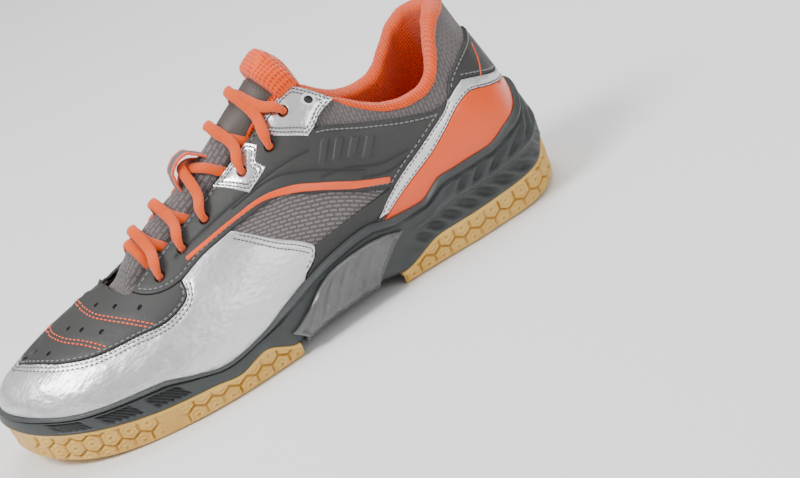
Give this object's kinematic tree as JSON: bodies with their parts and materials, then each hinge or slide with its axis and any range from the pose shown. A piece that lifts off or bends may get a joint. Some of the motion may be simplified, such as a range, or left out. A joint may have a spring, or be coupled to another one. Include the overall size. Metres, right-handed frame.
{
  "type": "court shoe",
  "caption": "Low-cut left indoor court shoe: cemented foam and gum sole, mesh upper with synthetic overlays, padded collar and tongue, laced up.",
  "frame": {"origin": "on the ground under the middle of the shoe's box", "axes": "toe towards -Y, heel towards +Y, outer (lateral) side towards +X, up +Z; the treads stand on z = 0"},
  "size_m": [0.1078, 0.2916, 0.1189],
  "materials": {
    "mesh_grey": "open air mesh, matt",
    "dark_synthetic": "matt coated synthetic, embossed",
    "orange_synthetic": "glossy film",
    "silver_synthetic": "crinkled metallic synthetic leather",
    "silver_film": "glossy metallic film",
    "orange_mesh": "soft lining mesh",
    "foam": "open-cell foam, hidden",
    "stiffener": "non-woven sheet, hidden",
    "board": "stitched fibre board, hidden",
    "midsole_foam": "moulded foam, matt",
    "gum_rubber": "translucent gum rubber",
    "shank_plastic": "smoky translucent plastic",
    "lace_cord": "flat knitted lace",
    "aglet_film": "clear film over the lace",
    "eyelet_plastic": "white moulded ring"
  },
  "bodies": {
    "root": {"midsole": "midsole_foam", "forefoot_outsole": "gum_rubber", "heel_outsole": "gum_rubber", "arch_shank": "shank_plastic", "insole_board": "board", "sockliner": "orange_mesh", "quarter_lateral": "dark_synthetic", "quarter_medial": "dark_synthetic", "upper_eyestay_patch_lateral": "silver_film", "upper_eyestay_patch_medial": "silver_film", "lower_eyestay_patch_lateral": "silver_film", "lower_eyestay_patch_medial": "silver_film", "heel_trim_lateral": "silver_synthetic", "heel_trim_medial": "silver_synthetic", "heel_panel_lateral": "orange_synthetic", "heel_panel_medial": "orange_synthetic", "quarter_stripe_lateral": "orange_synthetic", "quarter_stripe_medial": "orange_synthetic", "toe_wrap": "silver_synthetic", "vamp_panel": "dark_synthetic", "medial_toe_guard": "orange_synthetic", "toe_puff": "stiffener", "upper_mesh": "mesh_grey", "collar_mesh": "mesh_grey", "heel_tab": "dark_synthetic", "heel_counter": "stiffener", "collar_foam": "foam", "collar_lining": "orange_mesh", "lace": "lace_cord", "aglet_lateral": "aglet_film", "aglet_medial": "aglet_film", "spare_eyelet_lateral": "eyelet_plastic", "spare_eyelet_medial": "eyelet_plastic"},
    "tongue": {"tongue_shell": "mesh_grey", "tongue_padding": "foam", "tongue_lining": "orange_mesh", "tongue_label": "dark_synthetic", "keeper_loop": "orange_mesh"}
  },
  "joints": [
    {"name": "tongue_hinge", "type": "hinge", "parent": "root", "child": "tongue", "pos_m": [0.0003, -0.0802, 0.056], "axis": [-1, 0, 0], "range_deg": [0, 2], "stiffness_Nm_per_rad": 0.6, "springref_deg": -5.73}
  ]
}
